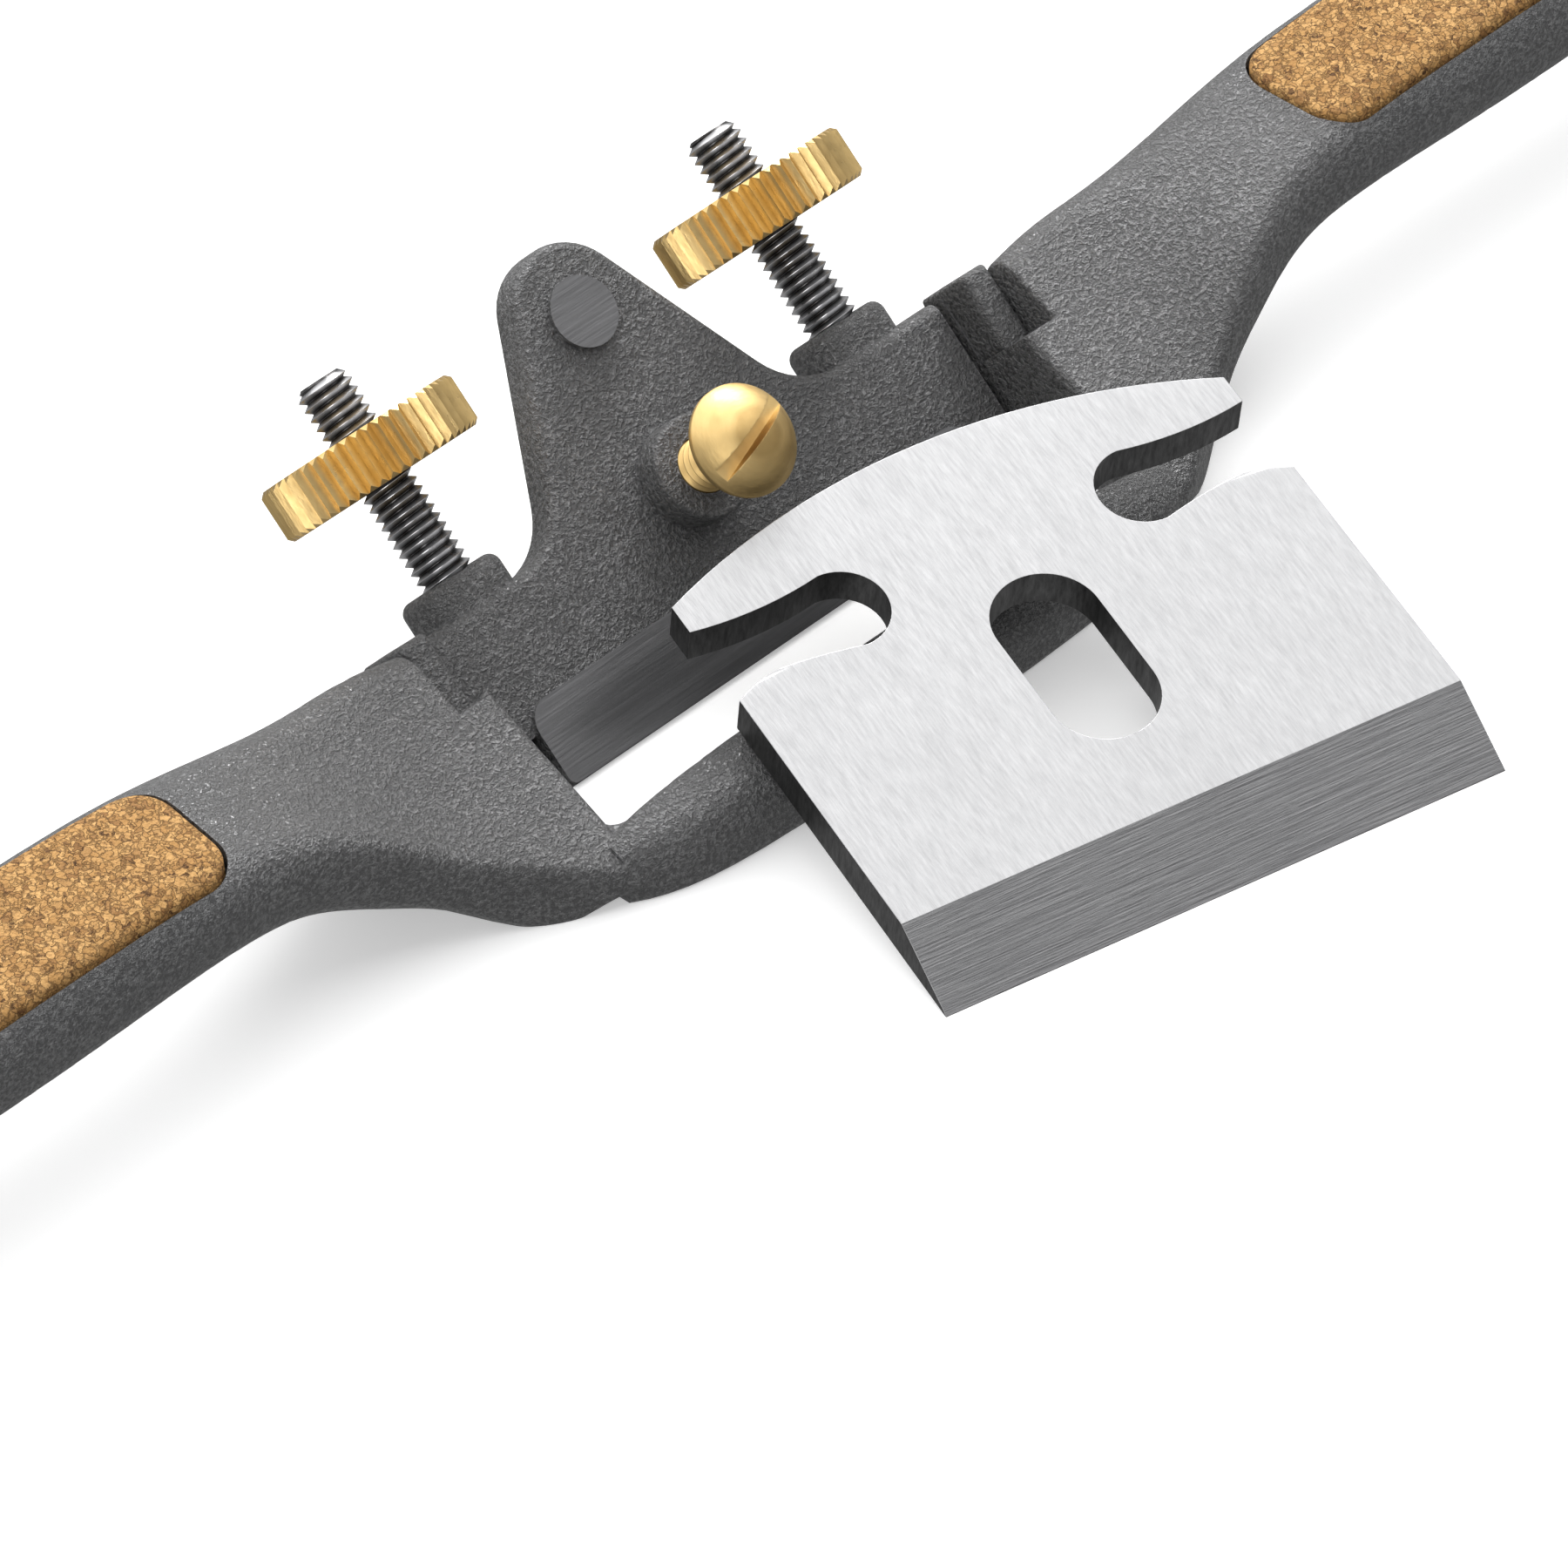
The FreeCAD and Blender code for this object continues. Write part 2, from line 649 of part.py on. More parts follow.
def blade():
    plate = prism(blade_outline(), vec(0, 0, blade_thickness)).cut(blade_slot())
    run = (blade_thickness - edge_land) / math.tan(math.radians(bevel_angle))
    half = blade_width
    corners = [(0, edge_land), (run, blade_thickness), (run, blade_thickness + 2), (-2, blade_thickness + 2),
               (-2, edge_land)]
    wedge = prism(rounded_wire(corners, [0] * 5, upright(-half)), vec(2 * half, 0, 0))
    plate = plate.cut(wedge)
    lean = FreeCAD.Rotation(X_AXIS, blade_lean())
    yaw = FreeCAD.Rotation(Z_AXIS, -blade_yaw)
    plate.Placement = FreeCAD.Placement(vec(0, blade_edge_y, 0), yaw.multiply(lean))
    return plate


def write(name, shape):
    shape = shape.removeSplitter() if shape.ShapeType == "Compound" else shape
    solids = shape.Solids
    if len(solids) != 1 or not solids[0].isValid():
        raise RuntimeError("%s: %d solids, valid %s" % (name, len(solids), [s.isValid() for s in solids]))
    solids[0].exportStep("parts/%s.step" % name)
    print("%-22s %9.1f mm3" % (name, solids[0].Volume))


os.makedirs("parts", exist_ok=True)
write("body_casting", body_casting())
for name, shape in (("cork_inlay", cork_inlay()), ("stud", stud()), ("adjusting_nut", adjusting_nut())):
    right, left = both_sides(shape)
    write("right_" + name, right)
    write("left_" + name, left)
write("cap_screw", cap_screw())
write("blade", blade())
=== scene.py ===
import logging
import math
from collections.abc import Callable
from dataclasses import dataclass, field
from enum import Enum
from typing import ClassVar

import bpy
from mathutils import Matrix, Vector


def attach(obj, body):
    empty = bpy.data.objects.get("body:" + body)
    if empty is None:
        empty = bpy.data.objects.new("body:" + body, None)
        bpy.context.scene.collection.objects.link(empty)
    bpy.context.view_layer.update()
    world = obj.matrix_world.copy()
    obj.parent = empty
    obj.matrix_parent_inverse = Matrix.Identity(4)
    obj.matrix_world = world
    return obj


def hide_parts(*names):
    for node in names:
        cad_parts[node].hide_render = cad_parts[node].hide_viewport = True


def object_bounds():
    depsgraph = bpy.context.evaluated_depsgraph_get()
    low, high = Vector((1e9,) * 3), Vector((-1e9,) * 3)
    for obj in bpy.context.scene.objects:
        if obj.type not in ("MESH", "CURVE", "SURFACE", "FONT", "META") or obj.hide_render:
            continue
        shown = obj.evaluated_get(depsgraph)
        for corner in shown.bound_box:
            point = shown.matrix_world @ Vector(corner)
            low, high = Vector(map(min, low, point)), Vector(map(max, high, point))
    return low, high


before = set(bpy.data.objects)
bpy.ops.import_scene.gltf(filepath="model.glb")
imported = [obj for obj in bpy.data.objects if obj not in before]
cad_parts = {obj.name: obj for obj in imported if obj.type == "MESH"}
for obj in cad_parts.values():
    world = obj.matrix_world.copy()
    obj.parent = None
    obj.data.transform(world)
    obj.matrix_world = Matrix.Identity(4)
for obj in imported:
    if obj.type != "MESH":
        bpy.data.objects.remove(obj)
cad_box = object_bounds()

LOG = logging.getLogger("spokeshave")

MM = 0.001
HALF = math.sqrt(0.5)
ALONG = Vector((0.0, HALF, HALF))            # up the bed
ABOVE = Vector((0.0, -HALF, HALF))           # out of the bed
BED_TILT = math.radians(45)
BED_EDGE = Vector((0.0, 14.5, 0.5)) * MM     # lower edge of the bed pads
BED = Matrix.Translation(BED_EDGE) @ Matrix.Rotation(BED_TILT, 4, "X")
TINY = 1e-6                                  # points nearer than this are the same point
ROUND = 96                                   # sides of a turned part

Triple = tuple[float, float, float]
Colour = Triple
Range = tuple[float, float]
Remap = tuple[float, float, float, float]    # from low, from high, to low, to high
Feed = float | tuple | bpy.types.NodeSocket
Sockets = bpy.types.bpy_prop_collection


class Side(Enum):
    """The two ends of the tool, as the sign of x."""

    LEFT = -1
    RIGHT = 1

    @property
    def word(self) -> str:
        """The side's name in lower case."""
        return self.name.lower()


class Grind(Enum):
    """How a face of the blade was worked, and how much shade is painted on it; the value is
    its material slot.
    """

    FLAT = 0
    BEVEL = 1
    EDGE = 2


# ---------------------------------------------------------------- shading


class Graph:
    """A node tree that is being filled in."""

    def __init__(self, tree: bpy.types.NodeTree) -> None:
        """Starts from an empty tree."""
        self.tree = tree
        tree.nodes.clear()

    def add(self, kind: str, feeds: dict[str | int, Feed] | None = None,
            **settings: object) -> bpy.types.Node:
        """Adds one node.

        Args:
            kind: the node's type, without the words ShaderNode.
            feeds: what goes into each socket, a value or another node's output.
            settings: attributes of the node.

        Returns:
            The new node.
        """
        node = self.tree.nodes.new("ShaderNode" + kind)
        for name, value in settings.items():
            setattr(node, name, value)
        for name, value in (feeds or {}).items():
            self.feed(node.inputs[name], value)
        return node

    def feed(self, socket: bpy.types.NodeSocket, value: Feed) -> None:
        """Links an output to a socket, or sets its value.

        Args:
            socket: the input to feed.
            value: another node's output, a number, or a tuple.
        """
        if isinstance(value, bpy.types.NodeSocket):
            self.tree.links.new(value, socket)
        elif isinstance(value, tuple) and len(value) == 3 and socket.type == "RGBA":
            socket.default_value = (*value, 1.0)
        else:
            socket.default_value = value

    def math(self, operation: str, *values: Feed, clamp: bool = False) -> bpy.types.NodeSocket:
        """Adds a Math node and returns its result."""
        node = self.add("Math", dict(enumerate(values)), operation=operation, use_clamp=clamp)
        return node.outputs[0]

    def vector(self, operation: str, *values: Feed) -> Sockets:
        """Adds a Vector Math node and returns its outputs."""
        return self.add("VectorMath", dict(enumerate(values)), operation=operation).outputs

    def mix(self, amount: Feed, first: Feed, second: Feed) -> bpy.types.NodeSocket:
        """Mixes two colours.

        Args:
            amount: 0 for the first colour, 1 for the second.
            first: one colour.
            second: the other colour.

        Returns:
            The mixed colour.
        """
        feeds = {0: amount, 6: first, 7: second}
        return self.add("Mix", feeds, data_type="RGBA", blend_type="MIX").outputs[2]

    def blend(self, amount: Feed, first: Feed, second: Feed) -> bpy.types.NodeSocket:
        """Mixes two numbers and returns the result."""
        return self.add("Mix", {0: amount, 2: first, 3: second}, data_type="FLOAT").outputs[0]

    def between(self, value: Feed, low: Feed, high: Feed, out_low: float = 0.0,
                out_high: float = 1.0) -> bpy.types.NodeSocket:
        """Maps a value from one range to another, clamped, and returns the result."""
        feeds = {0: value, 1: low, 2: high, 3: out_low, 4: out_high}
        return self.add("MapRange", feeds, clamp=True).outputs[0]

    def noise(self, vector: Feed, scale: Feed, detail: float = 2.0,
              rough: float = 0.5) -> bpy.types.NodeSocket:
        """Adds a noise texture and returns its value."""
        feeds = {"Vector": vector, "Scale": scale, "Detail": detail, "Roughness": rough}
        return self.add("TexNoise", feeds).outputs[0]

    def stretched(self, vector: Feed, turn: Triple, scale: Triple) -> bpy.types.NodeSocket:
        """Turns a pattern into a piece's own directions, then stretches it."""
        turned = self.add("Mapping", {"Vector": vector, "Rotation": turn})
        return self.add("Mapping", {"Vector": turned.outputs[0], "Scale": scale}).outputs[0]

    def group(self, effect: "Effect", feeds: dict[str, Feed]) -> bpy.types.Node:
        """Places a shared effect in this tree.

        Args:
            effect: the effect to place.
            feeds: what goes into each of its inputs.

        Returns:
            The group's node.
        """
        node = self.add("Group", node_tree=effect.tree())
        for name, value in feeds.items():
            self.feed(node.inputs[name], value)
        return node


class Effect:
    """A surface effect that more than one finish uses, kept as a node group."""

    name: ClassVar[str] = ""
    takes: ClassVar[dict[str, tuple[str, Feed]]] = {}
    gives: ClassVar[dict[str, str]] = {"Mask": "Float"}

    def tree(self) -> bpy.types.NodeTree:
        """Builds the effect's node group the first time it is asked for.

        Returns:
            The node group.
        """
        found = bpy.data.node_groups.get(self.name)
        if found:
            return found
        tree = bpy.data.node_groups.new(self.name, "ShaderNodeTree")
        for name, (kind, value) in self.takes.items():
            socket = tree.interface.new_socket(name, in_out="INPUT",
                                               socket_type="NodeSocket" + kind)
            socket.default_value = value
        for name, kind in self.gives.items():
            tree.interface.new_socket(name, in_out="OUTPUT", socket_type="NodeSocket" + kind)
        graph = Graph(tree)
        taken = tree.nodes.new("NodeGroupInput")
        given = tree.nodes.new("NodeGroupOutput")
        self.build(graph, taken.outputs, given.inputs)
        return tree

    def build(self, graph: Graph, taken: Sockets, given: Sockets) -> None:
        """Fills the group in; each effect has its own."""
        raise NotImplementedError


class EdgeWear(Effect):
    """Rubbed edges: 1 on a sharp edge, 0 on a flat face."""

    name = "edge_wear"
    takes = {"Vector": ("Vector", (0.0, 0.0, 0.0)), "Radius": ("Float", 0.5 * MM),
             "Patchiness": ("Float", 0.5)}
    flat_match: ClassVar[float] = 0.995
    edge_match: ClassVar[float] = 0.80
    patch_scale: ClassVar[float] = 420.0

    def build(self, graph: Graph, taken: Sockets, given: Sockets) -> None:
        """Compares the face's normal with a rounded one, and breaks the result up.

        Args:
            graph: the group being filled.
            taken: the group's inputs.
            given: the group's outputs.
        """
        rounded = graph.add("Bevel", {"Radius": taken["Radius"]}, samples=4).outputs[0]
        facing = graph.add("NewGeometry").outputs["Normal"]
        match = graph.vector("DOT_PRODUCT", rounded, facing)["Value"]
        edge = graph.between(match, self.flat_match, self.edge_match)
        patch = graph.noise(taken["Vector"], self.patch_scale, 3.0)
        bare = graph.math("MULTIPLY", taken["Patchiness"], patch)
        kept = graph.math("SUBTRACT", 1.0, bare, clamp=True)
        graph.feed(given["Mask"], graph.math("MULTIPLY", edge, kept))


class FineSpeckle(Effect):
    """Even grain of one size, from 0 to 1, with a coarser cloud over it."""

    name = "fine_speckle"
    takes = {"Vector": ("Vector", (0.0, 0.0, 0.0)), "Grain": ("Float", 2600.0),
             "Cloud": ("Float", 160.0)}
    gives = {"Mask": "Float", "Cloud": "Float"}
    grain_range: ClassVar[Range] = (0.40, 0.66)
    cloud_range: ClassVar[Range] = (0.3, 0.7)

    def build(self, graph: Graph, taken: Sockets, given: Sockets) -> None:
        """Adds the grain and the cloud from two noises."""
        grain = graph.noise(taken["Vector"], taken["Grain"], 3.0, 0.7)
        cloud = graph.noise(taken["Vector"], taken["Cloud"], 3.0)
        graph.feed(given["Mask"], graph.between(grain, *self.grain_range))
        graph.feed(given["Cloud"], graph.between(cloud, *self.cloud_range))


class BrushedLines(Effect):
    """Parallel scratches: the vector is stretched before it comes in."""

    name = "brushed_lines"
    takes = {"Vector": ("Vector", (0.0, 0.0, 0.0)), "Scale": ("Float", 1.0)}
    gives = {"Mask": "Float", "Broad": "Float"}
    broad_share: ClassVar[float] = 0.23
    spread: ClassVar[Range] = (0.3, 0.7)

    def build(self, graph: Graph, taken: Sockets, given: Sockets) -> None:
        """Adds a fine and a broad set of lines."""
        fine = graph.noise(taken["Vector"], taken["Scale"], 4.0, 0.65)
        coarse = graph.math("MULTIPLY", taken["Scale"], self.broad_share)
        broad = graph.noise(taken["Vector"], coarse, 2.0)
        graph.feed(given["Mask"], graph.between(fine, *self.spread))
        graph.feed(given["Broad"], graph.between(broad, *self.spread))


class ThreadRootShade(Effect):
    """Painted shade in the root of a thread: 1 at the root, 0 at the crest."""

    name = "thread_root_shade"
    takes = {"Vector": ("Vector", (0.0, 0.0, 0.0)), "Centre": ("Vector", (0.0, 0.0, 0.0)),
             "Axis": ("Vector", (0.0, 0.0, 1.0)), "Root": ("Float", 2.0 * MM),
             "Crest": ("Float", 2.5 * MM)}

    def build(self, graph: Graph, taken: Sockets, given: Sockets) -> None:
        """Measures how far a point is from the thread's axis."""
        arm = graph.vector("SUBTRACT", taken["Vector"], taken["Centre"])[0]
        cross = graph.vector("CROSS_PRODUCT", arm, taken["Axis"])[0]
        reach = graph.vector("LENGTH", cross)["Value"]
        depth = graph.between(reach, taken["Root"], taken["Crest"], 1.0, 0.0)
        graph.feed(given["Mask"], depth)


@dataclass(frozen=True)
class Finish:
    """A finish, which makes its own material."""

    name: str

    def material(self) -> bpy.types.Material:
        """Builds the finish as a material, from its own nodes.

        Returns:
            The material.
        """
        material = bpy.data.materials.new(self.name)
        material.use_nodes = True
        graph = Graph(material.node_tree)
        shader = graph.add("BsdfPrincipled")
        output = graph.add("OutputMaterial")
        graph.feed(output.inputs["Surface"], shader.outputs[0])
        place = graph.add("TexCoord").outputs["Object"]
        self.paint(graph, shader, place)
        return material

    def paint(self, graph: Graph, shader: bpy.types.Node, place: bpy.types.NodeSocket) -> None:
        """Fills in the shader; each finish has its own."""
        raise NotImplementedError

    @staticmethod
    def bump(graph: Graph, shader: bpy.types.Node, height: Feed, distance: float) -> None:
        """Feeds a height to the shader's normal."""
        node = graph.add("Bump", {"Height": height, "Distance": distance, "Strength": 1.0})
        graph.feed(shader.inputs["Normal"], node.outputs[0])


@dataclass(frozen=True)
class CastEnamel(Finish):
    """Satin grey enamel over an orange-peel casting, ground bare on the bed's pads."""

    deep: Colour = (0.125, 0.125, 0.126)
    pale: Colour = (0.270, 0.270, 0.272)
    rubbed: Colour = (0.30, 0.30, 0.31)
    ground: Colour = (0.23, 0.23, 0.235)
    grain: float = 2400.0
    cloud: float = 230.0
    cloud_depth: float = 0.30
    sheen: float = 0.72
    rough: Range = (0.50, 0.36)
    wear_radius: float = 0.5 * MM
    wear_patchiness: float = 0.9
    wear_depth: float = 0.55
    pad_slack: float = 0.072 * MM        # how far off the bed's plane a pad may be
    pad_facing: float = 0.985            # how squarely a pad faces out of the bed
    pad_sheen: float = 0.85
    pad_rough: Range = (0.34, 0.48)
    mill_stretch: Triple = (60.0, 1500.0, 60.0)
    mill_scale: float = 2.2
    mill_shade: float = 0.72
    mill_depth: float = 0.05
    peel_cloud: float = 0.6
    relief: float = 0.22 * MM

    def paint(self, graph: Graph, shader: bpy.types.Node, place: bpy.types.NodeSocket) -> None:
        """Enamels the casting and mills the pads that stand on the bed's plane.

        Args:
            graph: the material's nodes.
            shader: the node to feed.
            place: where a point is on the piece.
        """
        speckle = graph.group(FineSpeckle(), {"Vector": place, "Grain": self.grain,
                                              "Cloud": self.cloud})
        grain, cloud = speckle.outputs["Mask"], speckle.outputs["Cloud"]
        pad = self.pad_mask(graph, place)
        marks = graph.stretched(place, (-BED_TILT, 0.0, 0.0), self.mill_stretch)
        lines = graph.group(BrushedLines(), {"Vector": marks, "Scale": self.mill_scale})
        shaded = tuple(part * self.mill_shade for part in self.ground)
        milled = graph.mix(lines.outputs["Mask"], shaded, self.ground)
        body = self.enamel(graph, place, grain, cloud)
        graph.feed(shader.inputs["Base Color"], graph.mix(pad, body, milled))

        pad_sheen = graph.math("MULTIPLY", pad, self.pad_sheen)
        graph.feed(shader.inputs["Metallic"], graph.math("MAXIMUM", pad_sheen, self.sheen))
        rough = graph.between(grain, 0.0, 1.0, *self.rough)
        pad_rough = graph.between(lines.outputs["Broad"], 0.0, 1.0, *self.pad_rough)
        graph.feed(shader.inputs["Roughness"], graph.blend(pad, rough, pad_rough))

        peel = graph.math("ADD", grain, graph.math("MULTIPLY", cloud, self.peel_cloud))
        milling = graph.math("MULTIPLY", lines.outputs["Mask"], self.mill_depth)
        self.bump(graph, shader, graph.blend(pad, peel, milling), self.relief)

    def enamel(self, graph: Graph, place: bpy.types.NodeSocket, grain: Feed,
               cloud: Feed) -> bpy.types.NodeSocket:
        """Colours the enamel, and rubs it on its edges.

        Args:
            graph: the material's nodes.
            place: where a point is on the piece.
            grain: the fine speckle.
            cloud: the coarse one.

        Returns:
            The enamel's colour.
        """
        body = graph.mix(grain, self.deep, self.pale)
        shade = graph.between(cloud, 0.0, 1.0, 0.0, self.cloud_depth)
        body = graph.mix(shade, body, self.deep)
        wear = graph.group(EdgeWear(), {"Vector": place, "Radius": self.wear_radius,
                                        "Patchiness": self.wear_patchiness}).outputs[0]
        return graph.mix(graph.math("MULTIPLY", wear, self.wear_depth), body, self.rubbed)

    def pad_mask(self, graph: Graph, place: bpy.types.NodeSocket) -> bpy.types.NodeSocket:
        """Finds the faces that lie on the bed's plane and face out of it.

        Args:
            graph: the material's nodes.
            place: where a point is on the piece.

        Returns:
            1 on a pad, 0 elsewhere.
        """
        arm = graph.vector("SUBTRACT", place, tuple(BED_EDGE))[0]
        lift = graph.vector("DOT_PRODUCT", arm, tuple(ABOVE))["Value"]
        on_plane = graph.math("LESS_THAN", graph.math("ABSOLUTE", lift), self.pad_slack)
        normal = graph.add("NewGeometry").outputs["Normal"]
        facing = graph.vector("DOT_PRODUCT", normal, tuple(ABOVE))["Value"]
        square = graph.math("GREATER_THAN", facing, self.pad_facing)
        return graph.math("MULTIPLY", on_plane, square)


@dataclass(frozen=True)
class Cork(Finish):
    """Pressed cork: pale and brown granules with dark specks of bark."""

    light: Colour = (0.66, 0.385, 0.145)
    mid: Colour = (0.46, 0.245, 0.080)
    dark: Colour = (0.24, 0.112, 0.036)
    bark: Colour = (0.075, 0.032, 0.012)
    granule: float = 1350.0
    chip: float = 2600.0
    wander: float = 1500.0
    warp: float = 0.0016
    mid_granules: Remap = (0.1, 0.9, 0.0, 1.0)
    dark_granules: Remap = (0.72, 0.95, 0.0, 0.75)
    mid_chips: Remap = (0.55, 1.0, 0.0, 0.55)
    bark_chips: Remap = (0.90, 0.98, 0.0, 0.85)
    bark_pits: Remap = (0.86, 0.98, 0.0, -0.9)
    joint_width: float = 0.09
    joint_shade: float = 0.30
    joint_pit: float = -0.8
    mottle: float = 2400.0
    mottle_shade: Remap = (0.50, 0.72, 0.0, 0.55)
    grit: float = 3200.0
    relief: float = 0.22 * MM

    def paint(self, graph: Graph, shader: bpy.types.Node, place: bpy.types.NodeSocket) -> None:
        """Lays granules of two sizes, coloured one by one.

        Args:
            graph: the material's nodes.
            shader: the node to feed.
            place: where a point is on the piece.
        """
        wander = graph.add("TexNoise", {"Vector": place, "Scale": self.wander, "Detail": 3.0})
        shift = graph.vector("SUBTRACT", wander.outputs["Color"], (0.5, 0.5, 0.5))[0]
        shift = graph.add("VectorMath", {0: shift, 3: self.warp}, operation="SCALE").outputs[0]
        warped = graph.vector("ADD", place, shift)[0]
        tone = self.cells(graph, warped, self.granule)
        chip = self.cells(graph, warped, self.chip)
        seam = graph.add("TexVoronoi", {"Vector": warped, "Scale": self.granule},
                         feature="DISTANCE_TO_EDGE").outputs["Distance"]
        joint = graph.between(seam, 0.0, self.joint_width, 1.0, 0.0)
        mottle = graph.noise(place, self.mottle, 3.0)

        body = graph.mix(graph.between(tone[0], *self.mid_granules), self.light, self.mid)
        body = graph.mix(graph.between(tone[1], *self.dark_granules), body, self.dark)
        body = graph.mix(graph.between(chip[0], *self.mid_chips), body, self.mid)
        body = graph.mix(graph.between(chip[1], *self.bark_chips), body, self.bark)
        body = graph.mix(graph.math("MULTIPLY", joint, self.joint_shade), body, self.dark)
        body = graph.mix(graph.between(mottle, *self.mottle_shade), body, self.dark)
        graph.feed(shader.inputs["Base Color"], body)
        shader.inputs["Roughness"].default_value = 0.82
        shader.inputs["Specular IOR Level"].default_value = 0.3

        grit = graph.noise(place, self.grit, 3.0)
        pits = graph.math("ADD", graph.math("MULTIPLY", joint, self.joint_pit), grit)
        pits = graph.math("ADD", pits, graph.between(chip[1], *self.bark_pits))
        self.bump(graph, shader, pits, self.relief)

    @staticmethod
    def cells(graph: Graph, warped: Feed, scale: float) -> Sockets:
        """Gives each granule three random numbers of its own."""
        cell = graph.add("TexVoronoi", {"Vector": warped, "Scale": scale}, feature="F1")
        return graph.add("SeparateColor", {0: cell.outputs["Color"]}).outputs


@dataclass(frozen=True)
class TurnedBrass(Finish):
    """Brass with fine tool marks, and painted shade that darkens its hollows."""

    bright: Colour = (0.78, 0.56, 0.245)
    deep: Colour = (0.44, 0.28, 0.10)
    axis: Triple = (0.0, HALF, HALF)
    centre: Triple = (0.0, 0.0, 0.0)
    # root and crest bound the painted shade: darkest at the root, none at the crest
    root: float = 0.0
    crest: float = 1.0 * MM
    rough: Range = (0.26, 0.40)
    mark_stretch: Triple = (420.0, 260.0, 1500.0)
    mark_scale: float = 3.0
    mark_shade: Remap = (0.5, 1.0, 0.0, 0.22)
    root_shade_depth: float = 0.45
    cloud: float = 480.0
    cloud_shade: Remap = (0.45, 0.8, 0.0, 0.25)
    relief: float = 0.01 * MM

    def paint(self, graph: Graph, shader: bpy.types.Node, place: bpy.types.NodeSocket) -> None:
        """Adds tool marks, random tarnish, and painted shade that deepens towards the root of
        thread or knurl.

        Args:
            graph: the material's nodes.
            shader: the node to feed.
            place: where a point is on the piece.
        """
        feeds = {"Vector": place, "Centre": self.centre, "Axis": self.axis, "Root": self.root,
                 "Crest": self.crest}
        root_shade = graph.group(ThreadRootShade(), feeds).outputs[0]
        marks = graph.stretched(place, (-BED_TILT, 0.0, 0.0), self.mark_stretch)
        lines = graph.group(BrushedLines(), {"Vector": marks, "Scale": self.mark_scale})
        cloud = graph.between(graph.noise(place, self.cloud, 3.0), *self.cloud_shade)
        # painted shade in the hollows, added to the random tarnish
        root_shade = graph.math("MULTIPLY", root_shade, self.root_shade_depth)
        tarnish_and_shade = graph.math("ADD", root_shade, cloud, clamp=True)
        body = graph.mix(tarnish_and_shade, self.bright, self.deep)
        worked = graph.between(lines.outputs["Broad"], *self.mark_shade)
        graph.feed(shader.inputs["Base Color"], graph.mix(worked, body, self.deep))
        shader.inputs["Metallic"].default_value = 1.0
        rough = graph.between(lines.outputs["Mask"], 0.0, 1.0, *self.rough)
        graph.feed(shader.inputs["Roughness"], rough)
        self.bump(graph, shader, lines.outputs["Mask"], self.relief)


@dataclass(frozen=True)
class ThreadSteel(Finish):
    """Bright steel thread with painted shade in its roots."""

    bright: Colour = (0.58, 0.58, 0.59)
    # near-black tone of the painted shade in the roots
    root_shade_tone: Colour = (0.030, 0.028, 0.027)
    centre: Triple = (0.0, 0.0, 0.0)
    root: float = 1.95 * MM
    crest: float = 2.5 * MM
    root_shade_range: Range = (0.25, 1.0)
    cloud: float = 900.0
    root_shade_patches: Remap = (0.2, 0.6, 0.75, 1.0)
    rough: Remap = (0.3, 0.7, 0.24, 0.38)
    grit: float = 4000.0
    relief: float = 0.008 * MM

    def paint(self, graph: Graph, shader: bpy.types.Node, place: bpy.types.NodeSocket) -> None:
        """Paints shade into the roots and leaves the flanks bright.

        Args:
            graph: the material's nodes.
            shader: the node to feed.
            place: where a point is on the piece.
        """
        feeds = {"Vector": place, "Centre": self.centre, "Axis": tuple(ALONG),
                 "Root": self.root, "Crest": self.crest}
        root_shade = graph.group(ThreadRootShade(), feeds).outputs[0]
        cloud = graph.noise(place, self.cloud, 3.0)
        # painted shade in the roots, broken up a little by a random cloud
        painted_root_shade = graph.math("MULTIPLY", graph.between(root_shade, *self.root_shade_range),
                         graph.between(cloud, *self.root_shade_patches))
        graph.feed(shader.inputs["Base Color"], graph.mix(painted_root_shade, self.bright, self.root_shade_tone))
        shader.inputs["Metallic"].default_value = 1.0
        graph.feed(shader.inputs["Roughness"], graph.between(cloud, *self.rough))
        self.bump(graph, shader, graph.noise(place, self.grit, 2.0), self.relief)


@dataclass(frozen=True)
class GroundSteel(Finish):
    """Ground tool steel; the turn lines the scratches up with the blade."""

    bright: Colour = (0.43, 0.43, 0.435)
    dull: Colour = (0.335, 0.335, 0.34)
    turn: Triple = (0.0, 0.0, 0.0)
    stretch: Triple = (1800.0, 160.0, 160.0)
    line_scale: float = 2.4
    cloud: float = 120.0
    cloud_shade: Remap = (0.35, 0.75, 0.0, 0.25)
    rough: Range = (0.30, 0.42)
    relief: float = 0.012 * MM

    def paint(self, graph: Graph, shader: bpy.types.Node, place: bpy.types.NodeSocket) -> None:
        """Lays short scratches in one direction over a soft cloud.

        Args:
            graph: the material's nodes.
            shader: the node to feed.
            place: where a point is on the piece.
        """
        lined = graph.stretched(place, self.turn, self.stretch)
        lines = graph.group(BrushedLines(), {"Vector": lined, "Scale": self.line_scale})
        cloud = graph.between(graph.noise(place, self.cloud, 2.0), *self.cloud_shade)
        body = graph.mix(lines.outputs["Mask"], self.dull, self.bright)
        graph.feed(shader.inputs["Base Color"], graph.mix(cloud, body, self.dull))
        shader.inputs["Metallic"].default_value = 1.0
        rough = graph.between(lines.outputs["Broad"], 0.0, 1.0, *self.rough)
        graph.feed(shader.inputs["Roughness"], rough)
        self.bump(graph, shader, lines.outputs["Mask"], self.relief)


